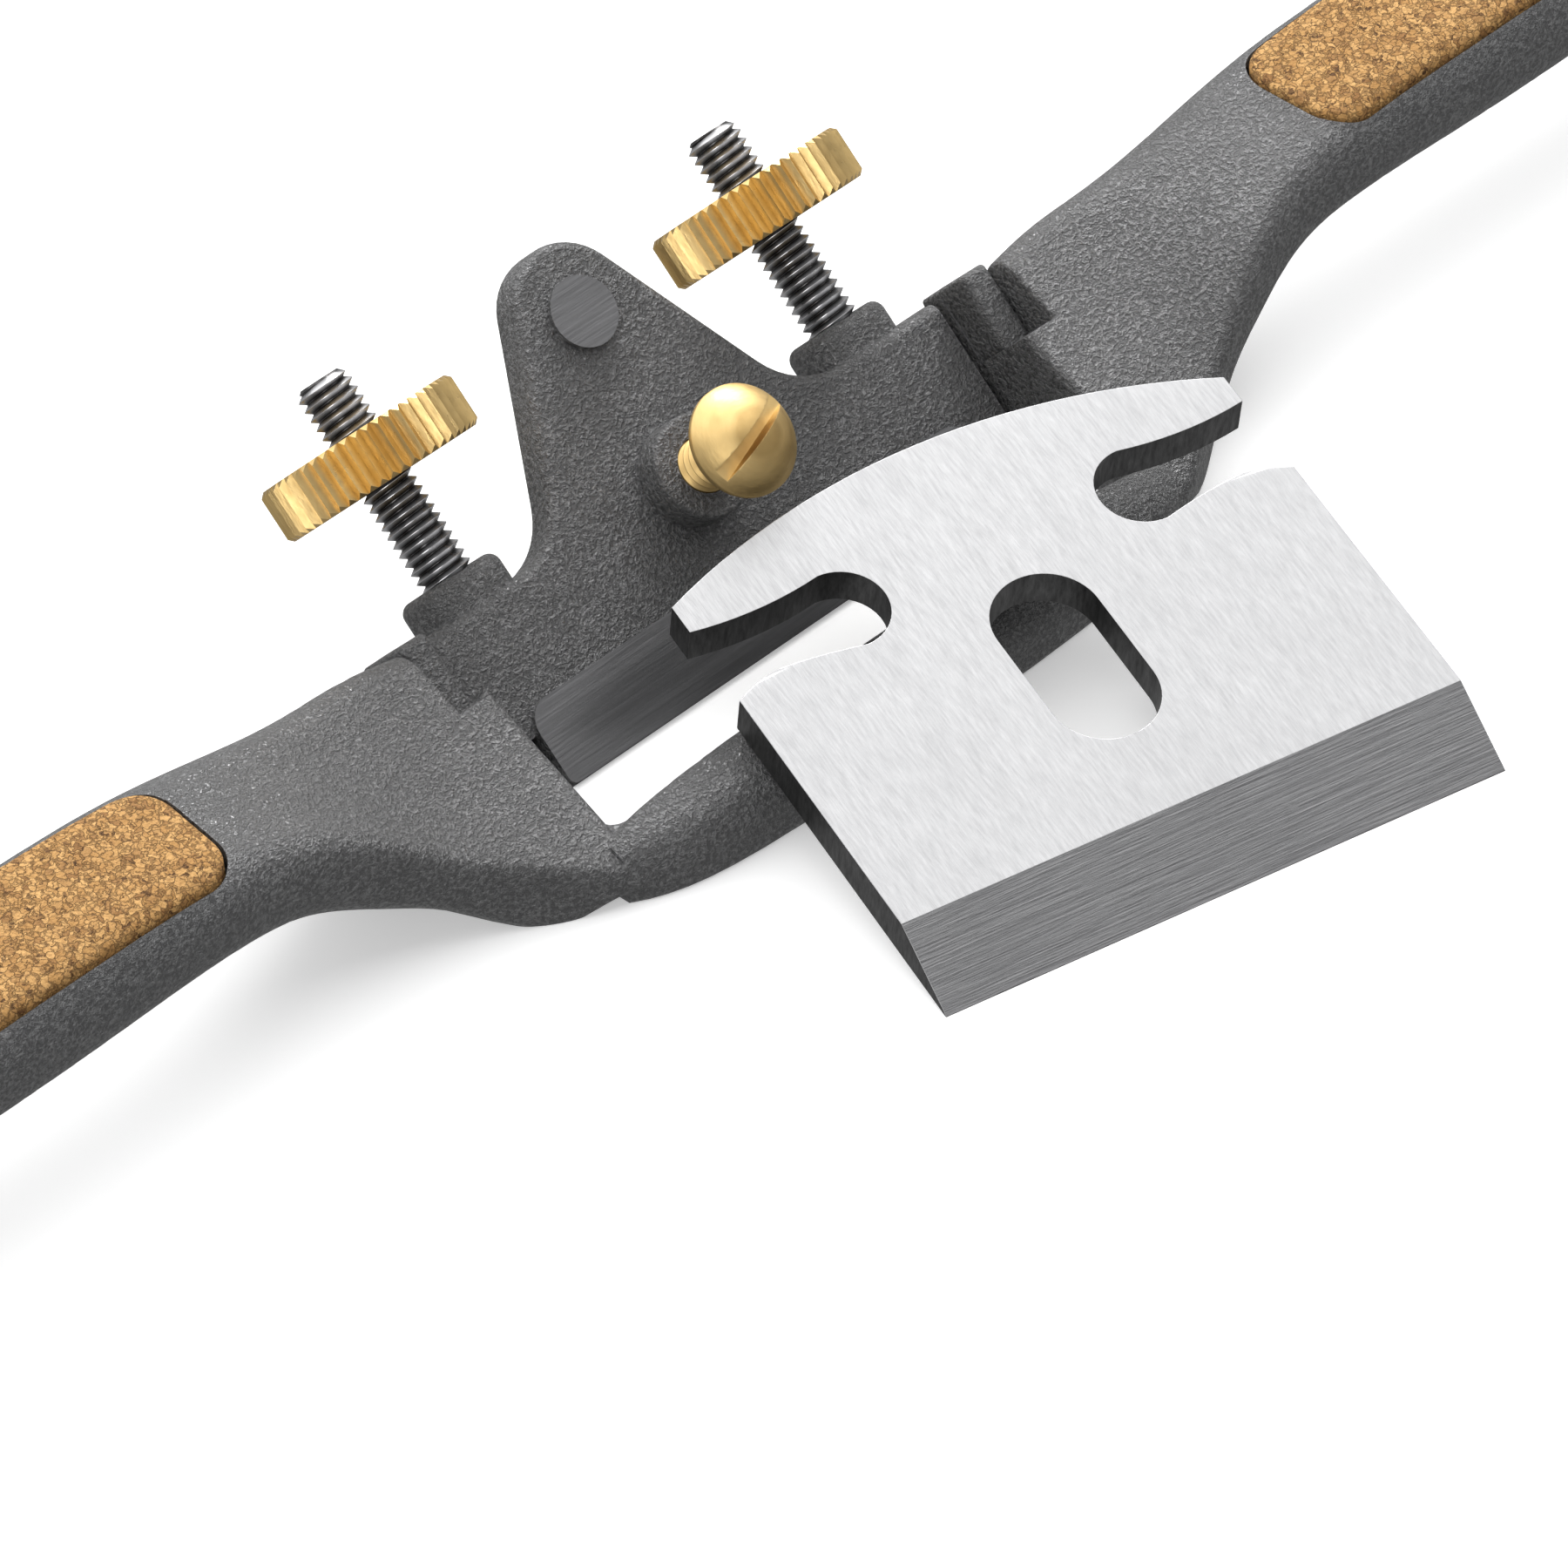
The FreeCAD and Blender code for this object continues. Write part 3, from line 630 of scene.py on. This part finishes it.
@dataclass(frozen=True)
class PaleFloor(Finish):
    """Plain pale table top."""

    tone: Colour = (0.90, 0.90, 0.90)
    dip: float = 0.985
    cloud: float = 3.0
    glow: float = 0.33

    def paint(self, graph: Graph, shader: bpy.types.Node, place: bpy.types.NodeSocket) -> None:
        """Lays an almost even white with a faint cloud.

        Args:
            graph: the material's nodes.
            shader: the node to feed.
            place: where a point is on the floor.
        """
        cloud = graph.noise(place, self.cloud, 1.0)
        dipped = tuple(part * self.dip for part in self.tone)
        graph.feed(shader.inputs["Base Color"], graph.mix(cloud, self.tone, dipped))
        shader.inputs["Roughness"].default_value = 0.9
        shader.inputs["Specular IOR Level"].default_value = 0.1
        shader.inputs["Emission Color"].default_value = (1.0, 1.0, 1.0, 1.0)
        shader.inputs["Emission Strength"].default_value = self.glow


# ---------------------------------------------------------------- shaping


class Bench:
    """The steps of shaping a piece, each of them one or two mesh operators."""

    @staticmethod
    def clear() -> None:
        """Deselects everything."""
        if bpy.context.object and bpy.context.object.mode != "OBJECT":
            bpy.ops.object.mode_set(mode="OBJECT")
        bpy.ops.object.select_all(action="DESELECT")

    @staticmethod
    def hold(piece: bpy.types.Object) -> None:
        """Makes a piece the only one selected, and the active one."""
        Bench.clear()
        piece.select_set(True)
        bpy.context.view_layer.objects.active = piece

    @staticmethod
    def edit(piece: bpy.types.Object) -> None:
        """Opens a piece in edit mode with all of it selected."""
        Bench.hold(piece)
        bpy.ops.object.mode_set(mode="EDIT")
        bpy.ops.mesh.select_all(action="SELECT")

    @staticmethod
    def apply(piece: bpy.types.Object, kind: str, **settings: object) -> None:
        """Adds a modifier and applies it.

        Args:
            piece: the piece to change.
            kind: the modifier's type.
            settings: the modifier's attributes.
        """
        Bench.hold(piece)
        modifier = piece.modifiers.new(kind.lower(), kind)
        for name, value in settings.items():
            setattr(modifier, name, value)
        bpy.ops.object.modifier_apply(modifier=modifier.name)

    @staticmethod
    def cut(piece: bpy.types.Object, height: float, upper: bool) -> None:
        """Cuts a piece level at a height, drops one side and closes the cut.

        Args:
            piece: the piece, in object mode.
            height: where the cut is, on z.
            upper: True to drop what is above.
        """
        Bench.edit(piece)
        bpy.ops.mesh.bisect(plane_co=(0.0, 0.0, height), plane_no=(0.0, 0.0, 1.0),
                            use_fill=True, clear_inner=not upper, clear_outer=upper,
                            threshold=TINY * 0.1)
        bpy.ops.object.mode_set(mode="OBJECT")

    @staticmethod
    def select_faces(piece: bpy.types.Object,
                     test: Callable[[bpy.types.MeshPolygon], bool]) -> None:
        """Selects the faces of a piece that pass a test, and opens edit mode.

        Args:
            piece: the piece, in object mode.
            test: says of a face whether it is wanted.
        """
        Bench.hold(piece)
        bpy.ops.object.mode_set(mode="EDIT")
        bpy.ops.mesh.select_mode(type="FACE")
        bpy.ops.mesh.select_all(action="DESELECT")
        bpy.ops.object.mode_set(mode="OBJECT")
        for face in piece.data.polygons:
            face.select = test(face)
        bpy.ops.object.mode_set(mode="EDIT")

    @staticmethod
    def tidy(piece: bpy.types.Object) -> None:
        """Merges doubles and turns every face outwards."""
        Bench.edit(piece)
        bpy.ops.mesh.remove_doubles(threshold=TINY)
        bpy.ops.mesh.normals_make_consistent(inside=False)
        bpy.ops.object.mode_set(mode="OBJECT")

    @staticmethod
    def place(piece: bpy.types.Object, where: Matrix) -> None:
        """Puts a piece in its place and leaves its object at the origin."""
        piece.matrix_world = where
        Bench.hold(piece)
        bpy.ops.object.transform_apply(location=True, rotation=True, scale=True)

    @staticmethod
    def smooth(piece: bpy.types.Object, degrees: float) -> None:
        """Shades smooth across edges flatter than the angle."""
        Bench.hold(piece)
        bpy.ops.object.shade_smooth_by_angle(angle=math.radians(degrees))

    @staticmethod
    def copy_of(node: str, name: str) -> bpy.types.Object:
        """Makes a merged copy of a CAD node, to refine.

        Args:
            node: the CAD node's name.
            name: the new piece's name.

        Returns:
            The copy, with a mesh of its own and no material.
        """
        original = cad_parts[node]
        piece = bpy.data.objects.new(name, original.data.copy())
        bpy.context.scene.collection.objects.link(piece)
        piece.data.materials.clear()
        if piece.data.has_custom_normals:
            Bench.hold(piece)
            bpy.ops.mesh.customdata_custom_splitnormals_clear()
        Bench.edit(piece)
        bpy.ops.mesh.remove_doubles(threshold=TINY)
        bpy.ops.object.mode_set(mode="OBJECT")
        return piece


@dataclass
class Thread:
    """A rod with real turns, built standing on the origin."""

    length: float
    diameter: float = 5.0 * MM
    pitch: float = 0.9 * MM
    depth: float = 0.55 * MM
    chamfer: float = 0.7 * MM
    lands_in_pitch: int = 14             # how narrow a crest or a root is
    spare_turns: int = 4                 # wound past the ends, then cut off
    steps: int = 40
    spare: float = 0.1 * MM

    def build(self, name: str) -> bpy.types.Object:
        """Winds one pitch of the profile up the rod, then trims both ends.

        Args:
            name: the piece's name.

        Returns:
            The rod, from z = 0 to its length.
        """
        crest = self.diameter / 2
        root = crest - self.depth
        land = self.pitch / self.lands_in_pitch
        flank = (self.pitch - 2 * land) / 2
        start = -self.spare_turns / 2 * self.pitch
        profile = ((0.0, land), (self.depth, flank), (0.0, land), (-self.depth, flank))
        Bench.clear()
        bpy.ops.mesh.primitive_plane_add(size=self.pitch)
        rod = bpy.context.object
        rod.name = rod.data.name = name
        bpy.ops.object.mode_set(mode="EDIT")
        bpy.ops.mesh.select_mode(type="VERT")
        bpy.ops.mesh.select_all(action="SELECT")
        bpy.ops.mesh.merge(type="CENTER")
        bpy.ops.transform.translate(value=(root, 0.0, start))
        for out, up in profile:
            bpy.ops.mesh.extrude_region_move(TRANSFORM_OT_translate={"value": (out, 0.0, up)})
        bpy.ops.object.mode_set(mode="OBJECT")
        turns = math.ceil(self.length / self.pitch) + self.spare_turns
        Bench.apply(rod, "SCREW", screw_offset=self.pitch, iterations=turns, steps=self.steps,
                    render_steps=self.steps, use_merge_vertices=True, merge_threshold=TINY)
        Bench.tidy(rod)
        Bench.cut(rod, 0.0, upper=False)
        Bench.cut(rod, self.length, upper=True)
        Bench.tidy(rod)
        self.trim(rod, crest)
        return rod

    def trim(self, rod: bpy.types.Object, crest: float) -> None:
        """Chamfers the upper end by keeping only what a chamfered bar holds.

        Args:
            rod: the threaded rod.
            crest: radius over the crests.
        """
        middle = self.length / 2 - self.spare + TINY
        Bench.clear()
        bpy.ops.mesh.primitive_cylinder_add(vertices=ROUND, radius=crest + self.spare,
                                            depth=self.length + 2 * self.spare,
                                            location=(0.0, 0.0, middle))
        bar = bpy.context.object
        Bench.place(bar, bar.matrix_world.copy())
        Bench.select_faces(bar, lambda face: face.normal.z > 0.9)
        bpy.ops.mesh.bevel(offset=self.chamfer + self.spare, segments=1)
        bpy.ops.object.mode_set(mode="OBJECT")
        Bench.apply(rod, "BOOLEAN", operation="INTERSECT", solver="EXACT", object=bar)
        bpy.data.objects.remove(bar)


# ---------------------------------------------------------------- pieces


@dataclass(frozen=True)
class StudPair:
    """Where the two studs stand on the bed."""

    spacing: float = 45.7 * MM
    depth: float = 4.3 * MM

    def point(self, side: Side, along: float) -> Vector:
        """The point of a stud's axis that is so far up the bed."""
        return BED @ Vector((side.value * self.spacing / 2, along, -self.depth))


@dataclass
class Piece:
    """One visible piece of the tool."""

    name: str
    body: str
    node: str
    slot: str

    def build(self) -> bpy.types.Object:
        """Makes the piece's mesh; each piece has its own."""
        raise NotImplementedError

    def dress(self, piece: bpy.types.Object) -> None:
        """Gives the piece its finish; each piece has its own."""
        raise NotImplementedError

    def make(self) -> bpy.types.Object:
        """Builds and dresses the piece, and hangs it on its body.

        Returns:
            The finished piece.
        """
        piece = self.build()
        self.dress(piece)
        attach(piece, self.body)
        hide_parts(self.node)
        LOG.info("%s: %d faces on %s, for %s", piece.name, len(piece.data.polygons), self.body,
                 self.node)
        return piece


@dataclass
class Casting(Piece):
    """The one-piece casting."""

    smooth_over: float = 32.0
    finish: Finish = field(default_factory=lambda: CastEnamel("cast_enamel"))

    def build(self) -> bpy.types.Object:
        """The casting with its facets smoothed."""
        piece = Bench.copy_of(self.node, self.name)
        Bench.smooth(piece, self.smooth_over)
        return piece

    def dress(self, piece: bpy.types.Object) -> None:
        """Enamels the casting."""
        piece.data.materials.append(self.finish.material())


@dataclass
class CorkFace(Piece):
    """One cork face of a handle."""

    smooth_over: float = 40.0
    finish: Finish = field(default_factory=lambda: Cork("pressed_cork"))

    def build(self) -> bpy.types.Object:
        """The cork with its rim smoothed."""
        piece = Bench.copy_of(self.node, self.name)
        Bench.smooth(piece, self.smooth_over)
        return piece

    def dress(self, piece: bpy.types.Object) -> None:
        """Leaves the cork bare."""
        piece.data.materials.append(self.finish.material())


@dataclass
class Stud(Piece):
    """A threaded stud, screwed into its boss."""

    side: Side = Side.RIGHT
    pair: StudPair = StudPair()
    foot: float = 11.1 * MM
    top: float = 39.8 * MM
    smooth_over: float = 25.0

    @property
    def centre(self) -> Vector:
        """Where the stud's axis meets the level of its foot."""
        return self.pair.point(self.side, self.foot)

    def build(self) -> bpy.types.Object:
        """Winds the thread and stands it in the boss."""
        rod = Thread(length=self.top - self.foot).build(self.name)
        lean = Matrix.Rotation(-BED_TILT, 4, "X")
        Bench.place(rod, Matrix.Translation(self.centre) @ lean)
        Bench.smooth(rod, self.smooth_over)
        return rod

    def dress(self, piece: bpy.types.Object) -> None:
        """Paints shade into the roots of the thread."""
        steel = ThreadSteel(self.name + "_steel", centre=tuple(self.centre))
        piece.data.materials.append(steel.material())


@dataclass
class AdjustingNut(Piece):
    """A knurled nut on its stud."""

    side: Side = Side.RIGHT
    pair: StudPair = StudPair()
    crest: float = 9.45 * MM
    tooth: float = 0.55 * MM
    # how far below the crests the painted shade reaches, in teeth
    shade_past_tooth: float = 1.1
    smooth_over: float = 20.0

    def build(self) -> bpy.types.Object:
        """The nut, its bore shaded round and its knurl left crisp."""
        piece = Bench.copy_of(self.node, self.name)
        Bench.smooth(piece, self.smooth_over)
        return piece

    def dress(self, piece: bpy.types.Object) -> None:
        """Turned brass, with painted shade between the teeth."""
        centre = self.pair.point(self.side, 0.0)
        brass = TurnedBrass(self.name + "_brass", centre=tuple(centre), axis=tuple(ALONG),
                            root=self.crest - self.tooth * self.shade_past_tooth,
                            crest=self.crest)
        piece.data.materials.append(brass.material())


@dataclass
class CapScrew(Piece):
    """The slotted dome-headed screw in the middle boss."""

    head: float = 9.9 * MM
    rim: float = 0.6 * MM
    dome: float = 3.0 * MM
    seat: float = 9.6 * MM
    reach: float = 7.4 * MM
    along: float = 16.3 * MM
    pitch: float = 1.0 * MM
    root: float = 1.95 * MM
    crest: float = 2.5 * MM
    slot_width: float = 1.3 * MM
    slot_depth: float = 2.3 * MM
    slot_angle: float = 19.5
    slot_overrun: float = 1.5            # saw length over head width
    rim_edge: float = 0.18 * MM
    burr: float = 0.06 * MM
    burr_angle: float = 40.0
    smooth_over: float = 28.0
    rough: Range = (0.40, 0.52)

    def build(self) -> bpy.types.Object:
        """Domes the head, saws the slot, and puts the head on its thread.

        Returns:
            The screw, head and thread as one mesh.
        """
        radius = self.head / 2
        ball = (radius ** 2 + self.dome ** 2) / (2 * self.dome)
        Bench.clear()
        bpy.ops.mesh.primitive_uv_sphere_add(segments=ROUND, ring_count=ROUND, radius=ball,
                                             location=(0.0, 0.0, self.dome - ball))
        head = bpy.context.object
        head.name = head.data.name = self.name
        Bench.place(head, head.matrix_world.copy())
        Bench.cut(head, 0.0, upper=False)
        Bench.select_faces(head, lambda face: face.normal.z < -0.9)
        drop = {"value": (0.0, 0.0, -self.rim)}
        bpy.ops.mesh.extrude_region_move(TRANSFORM_OT_translate=drop)
        bpy.ops.mesh.bevel(offset=self.rim_edge, segments=3)
        bpy.ops.object.mode_set(mode="OBJECT")
        Bench.tidy(head)
        self.saw(head)
        shank = Thread(length=self.seat + self.reach + self.rim / 2,
                       pitch=self.pitch).build("shank")
        over = Matrix.Rotation(math.pi, 4, "X")
        Bench.place(shank, Matrix.Translation((0.0, 0.0, self.rim * -0.5)) @ over)
        Bench.clear()
        shank.select_set(True)
        head.select_set(True)
        bpy.context.view_layer.objects.active = head
        bpy.ops.object.join()
        where = Matrix.Translation((0.0, self.along, self.seat + self.rim))
        Bench.place(head, BED @ where)
        Bench.smooth(head, self.smooth_over)
        return head

    def saw(self, head: bpy.types.Object) -> None:
        """Cuts the driver slot and takes the burr off its edges.

        Args:
            head: the head, its rim's top at z = 0.
        """
        Bench.clear()
        bpy.ops.mesh.primitive_cube_add(size=1.0, location=(0.0, 0.0, self.dome))
        blade = bpy.context.object
        blade.scale = (self.head * self.slot_overrun, self.slot_width, self.slot_depth * 2)
        blade.rotation_euler.z = math.radians(self.slot_angle)
        bpy.context.view_layer.update()
        Bench.place(blade, blade.matrix_world.copy())
        Bench.apply(head, "BOOLEAN", operation="DIFFERENCE", solver="EXACT", object=blade)
        bpy.data.objects.remove(blade)
        Bench.apply(head, "BEVEL", width=self.burr, segments=2, limit_method="ANGLE",
                    angle_limit=math.radians(self.burr_angle), use_clamp_overlap=True)

    def dress(self, piece: bpy.types.Object) -> None:
        """Satin brass, with painted shade in the thread."""
        centre = BED @ Vector((0.0, self.along, 0.0))
        brass = TurnedBrass(self.name + "_brass", centre=tuple(centre), axis=tuple(ABOVE),
                            root=self.root, crest=self.crest, rough=self.rough)
        piece.data.materials.append(brass.material())


@dataclass
class Blade(Piece):
    """The loose blade, leaning on the toe."""

    yaw: float = -14.5
    edge_break: float = 0.11 * MM
    edge_angle: float = 22.0
    smooth_over: float = 32.0
    upward: float = 0.7                  # least z of an upper face's normal
    side_lift: float = 0.45              # below this a face is one of the blade's sides
    bevel_lift: Range = (0.85, 0.95)     # between these it is the bevel
    bevel_area: float = 1e-6             # and larger than this, in square metres

    def build(self) -> bpy.types.Object:
        """Breaks the arrises of the blade and evens its shading.

        Returns:
            The blade.
        """
        piece = Bench.copy_of(self.node, self.name)
        Bench.apply(piece, "BEVEL", width=self.edge_break, segments=2, limit_method="ANGLE",
                    angle_limit=math.radians(self.edge_angle), use_clamp_overlap=True)
        Bench.smooth(piece, self.smooth_over)
        Bench.apply(piece, "WEIGHTED_NORMAL", weight=100, keep_sharp=True)
        return piece

    @property
    def level(self) -> Vector:
        """The normal of the blade's upper face, from its largest upward area."""
        totals: dict[tuple, float] = {}
        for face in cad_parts[self.node].data.polygons:
            key = tuple(round(part, 3) for part in face.normal)
            totals[key] = totals.get(key, 0.0) + face.area
        upward = {key: area for key, area in totals.items() if key[2] > self.upward}
        return Vector(max(upward, key=upward.get)).normalized()

    def dress(self, piece: bpy.types.Object) -> None:
        """Grinds the flats along the blade and the bevel across it, and paints shade on the
        bevel and the sides as darker steel.

        Args:
            piece: the blade.
        """
        normal = self.level
        yaw = math.radians(self.yaw)
        across = Vector((math.cos(yaw), math.sin(yaw), 0.0))
        across = (across - across.dot(normal) * normal).normalized()
        length = normal.cross(across)
        turn = tuple(Matrix((across, length, normal)).to_euler())
        flat = GroundSteel("blade_flat", turn=turn, stretch=(1500.0, 170.0, 170.0),
                           rough=(0.32, 0.44))
        # the bevel's scratches run across it, as ground; its darker steel is painted shade
        bevel = GroundSteel("blade_bevel_painted_shade", turn=turn, stretch=(60.0, 1900.0, 1900.0),
                            bright=(0.31, 0.31, 0.315), dull=(0.19, 0.19, 0.195),
                            rough=(0.30, 0.40), relief=0.02 * MM)
        # the sides are the same steel made near black: painted shade
        edge = GroundSteel("blade_side_painted_shade", turn=turn, stretch=(900.0, 900.0, 200.0),
                           bright=(0.16, 0.16, 0.16), dull=(0.06, 0.06, 0.06),
                           rough=(0.38, 0.5))
        for finish in (flat, bevel, edge):
            piece.data.materials.append(finish.material())
        for face in piece.data.polygons:
            face.material_index = self.grind_of(face, normal).value

    def grind_of(self, face: bpy.types.MeshPolygon, normal: Vector) -> Grind:
        """Tells from a face's lean how it was ground, and so how much shade is painted on it.

        Args:
            face: a face of the blade.
            normal: the normal of the upper face.

        Returns:
            The grind.
        """
        lift = face.normal.dot(normal)
        if abs(lift) < self.side_lift:
            return Grind.EDGE
        low, high = self.bevel_lift
        if low < lift < high and face.area > self.bevel_area:
            return Grind.BEVEL
        return Grind.FLAT


# ---------------------------------------------------------------- setting


@dataclass(frozen=True)
class Lamp:
    """A soft rectangular light that faces the tool, in metres and watts."""

    name: str
    where: Triple
    width: float
    height: float
    power: float

    def hang(self) -> None:
        """Adds the light to the scene."""
        data = bpy.data.lights.new(self.name, "AREA")
        data.shape = "RECTANGLE"
        data.size, data.size_y, data.energy = self.width, self.height, self.power
        lamp = bpy.data.objects.new(self.name, data)
        lamp.location = self.where
        lamp.rotation_euler = (-Vector(self.where)).to_track_quat("-Z", "Y").to_euler()
        bpy.context.scene.collection.objects.link(lamp)


@dataclass
class Setting:
    """The floor, the lights and the camera."""

    floor_side: float = 8.0
    sky: float = 0.38
    lamps: tuple[Lamp, ...] = (
        Lamp("overhead", (0.2, 0.45, 1.1), 3.6, 2.8, 44.0),
        Lamp("back_window", (0.95, 1.05, 1.0), 0.8, 0.6, 17.0),
        Lamp("front_fill", (-0.75, -0.55, 0.55), 0.5, 0.5, 2.0),
    )
    lens: float = 209.82
    sensor: float = 36.0
    reach: Range = (0.01, 50.0)
    eye: Triple = (-0.40207, -0.43210, 0.48558)
    right: Triple = (0.70676, -0.70466, -0.06484)
    up: Triple = (0.48849, 0.41954, 0.76525)
    back: Triple = (-0.51191, -0.57237, 0.64058)

    def build(self) -> None:
        """Lays the floor, hangs the lights and fills the room."""
        Bench.clear()
        bpy.ops.mesh.primitive_plane_add(size=self.floor_side)
        floor = bpy.context.object
        floor.name = floor.data.name = "floor"
        lowest = cad_box[0][2]
        Bench.place(floor, Matrix.Translation((0.0, 0.0, lowest)))
        floor.data.materials.append(PaleFloor("pale_floor").material())
        floor.visible_diffuse = False
        floor.visible_glossy = False
        for lamp in self.lamps:
            lamp.hang()
        world = bpy.data.worlds.new("room")
        world.use_nodes = True
        air = world.node_tree.nodes["Background"].inputs
        air["Color"].default_value = (1.0, 1.0, 1.0, 1.0)
        air["Strength"].default_value = self.sky
        bpy.context.scene.world = world

    def camera(self) -> None:
        """Sets up the long lens that looks down over the left front."""
        data = bpy.data.cameras.new("camera")
        data.lens = self.lens
        data.sensor_width = self.sensor
        data.clip_start, data.clip_end = self.reach
        camera = bpy.data.objects.new("camera", data)
        axes = Matrix((self.right, self.up, self.back)).transposed()
        camera.matrix_world = Matrix.Translation(self.eye) @ axes.to_4x4()
        bpy.context.scene.collection.objects.link(camera)
        bpy.context.scene.camera = camera
        bpy.context.scene.view_settings.view_transform = "Standard"


def main() -> None:
    """Builds the tool piece by piece, then its setting."""
    logging.basicConfig(level=logging.INFO, format="%(name)s: %(message)s")
    Casting("casting", "shave", "body_casting", "casting").make()
    for side in Side:
        word = side.word
        CorkFace(word + "_cork", "shave", word + "_cork_inlay", "cork").make()
        Stud(word + "_threaded_stud", "shave", word + "_stud", "stud", side=side).make()
        AdjustingNut(word + "_knurled_nut", word + "_nut", word + "_adjusting_nut", "nut",
                     side=side).make()
    CapScrew("dome_screw", "cap_screw", "cap_screw", "screw").make()
    Blade("ground_blade", "blade", "blade", "blade").make()
    setting = Setting()
    setting.build()
    setting.camera()


if __name__ == "__main__":
    main()
